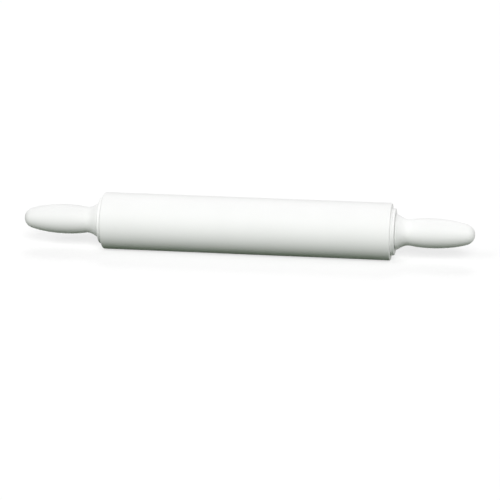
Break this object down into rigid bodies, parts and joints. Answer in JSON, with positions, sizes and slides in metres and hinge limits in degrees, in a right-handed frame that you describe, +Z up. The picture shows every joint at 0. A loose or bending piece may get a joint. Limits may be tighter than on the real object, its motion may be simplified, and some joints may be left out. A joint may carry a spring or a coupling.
{
  "type": "plastic rolling pin",
  "caption": "Plastic rolling pin with a thick straight barrel that turns on ball bearings, stepped end caps, a steel through axle and two turned plastic handles.",
  "frame": {"origin": "middle of the barrel, on its axis, which is the centre of the whole pin's box", "axes": "+X along the pin from the left handle to the right handle, +Z up, away from the table that the barrel lies on"},
  "size_m": [0.637, 0.08, 0.08],
  "materials": {
    "barrel_plastic": "satin white polyethylene, turned smooth",
    "cap_plastic": "satin white, moulded",
    "handle_plastic": "satin white, moulded and smooth in the hand",
    "axle_steel": "turned stainless steel",
    "ring_steel": "ground bearing steel",
    "ball_steel": "polished bearing steel",
    "cage_nylon": "natural nylon, moulded",
    "seal_rubber": "black moulded rubber",
    "sleeve_steel": "turned stainless steel",
    "washer_steel": "stamped stainless steel",
    "insert_brass": "turned brass"
  },
  "bodies": {
    "axle_and_handles": {"axle": "axle_steel", "left_inner_ring": "ring_steel", "right_inner_ring": "ring_steel", "left_spacer_sleeve": "sleeve_steel", "right_spacer_sleeve": "sleeve_steel", "left_washer": "washer_steel", "right_washer": "washer_steel", "left_handle_insert": "insert_brass", "right_handle_insert": "insert_brass", "left_handle": "handle_plastic", "right_handle": "handle_plastic"},
    "roller": {"barrel": "barrel_plastic", "left_bearing_cap": "cap_plastic", "right_bearing_cap": "cap_plastic", "left_outer_ring": "ring_steel", "right_outer_ring": "ring_steel", "left_outer_seal": "seal_rubber", "right_outer_seal": "seal_rubber", "left_inner_seal": "seal_rubber", "right_inner_seal": "seal_rubber"},
    "left_cage": {"left_ball_cage": "cage_nylon", "left_ball_1": "ball_steel", "left_ball_2": "ball_steel", "left_ball_3": "ball_steel", "left_ball_4": "ball_steel", "left_ball_5": "ball_steel", "left_ball_6": "ball_steel", "left_ball_7": "ball_steel", "left_ball_8": "ball_steel"},
    "right_cage": {"right_ball_cage": "cage_nylon", "right_ball_1": "ball_steel", "right_ball_2": "ball_steel", "right_ball_3": "ball_steel", "right_ball_4": "ball_steel", "right_ball_5": "ball_steel", "right_ball_6": "ball_steel", "right_ball_7": "ball_steel", "right_ball_8": "ball_steel"}
  },
  "joints": [
    {"name": "barrel_spin", "type": "hinge", "parent": "axle_and_handles", "child": "roller", "pos_m": [0, 0, 0], "axis": [1, 0, 0], "continuous": true},
    {"name": "left_cage_spin", "type": "hinge", "parent": "axle_and_handles", "child": "left_cage", "pos_m": [-0.1915, 0, 0], "axis": [1, 0, 0], "continuous": true},
    {"name": "right_cage_spin", "type": "hinge", "parent": "axle_and_handles", "child": "right_cage", "pos_m": [0.1915, 0, 0], "axis": [1, 0, 0], "continuous": true}
  ],
  "couplings": [
    {"joint": "left_cage_spin", "follows": "barrel_spin", "ratio": 0.619},
    {"joint": "right_cage_spin", "follows": "barrel_spin", "ratio": 0.619}
  ]
}
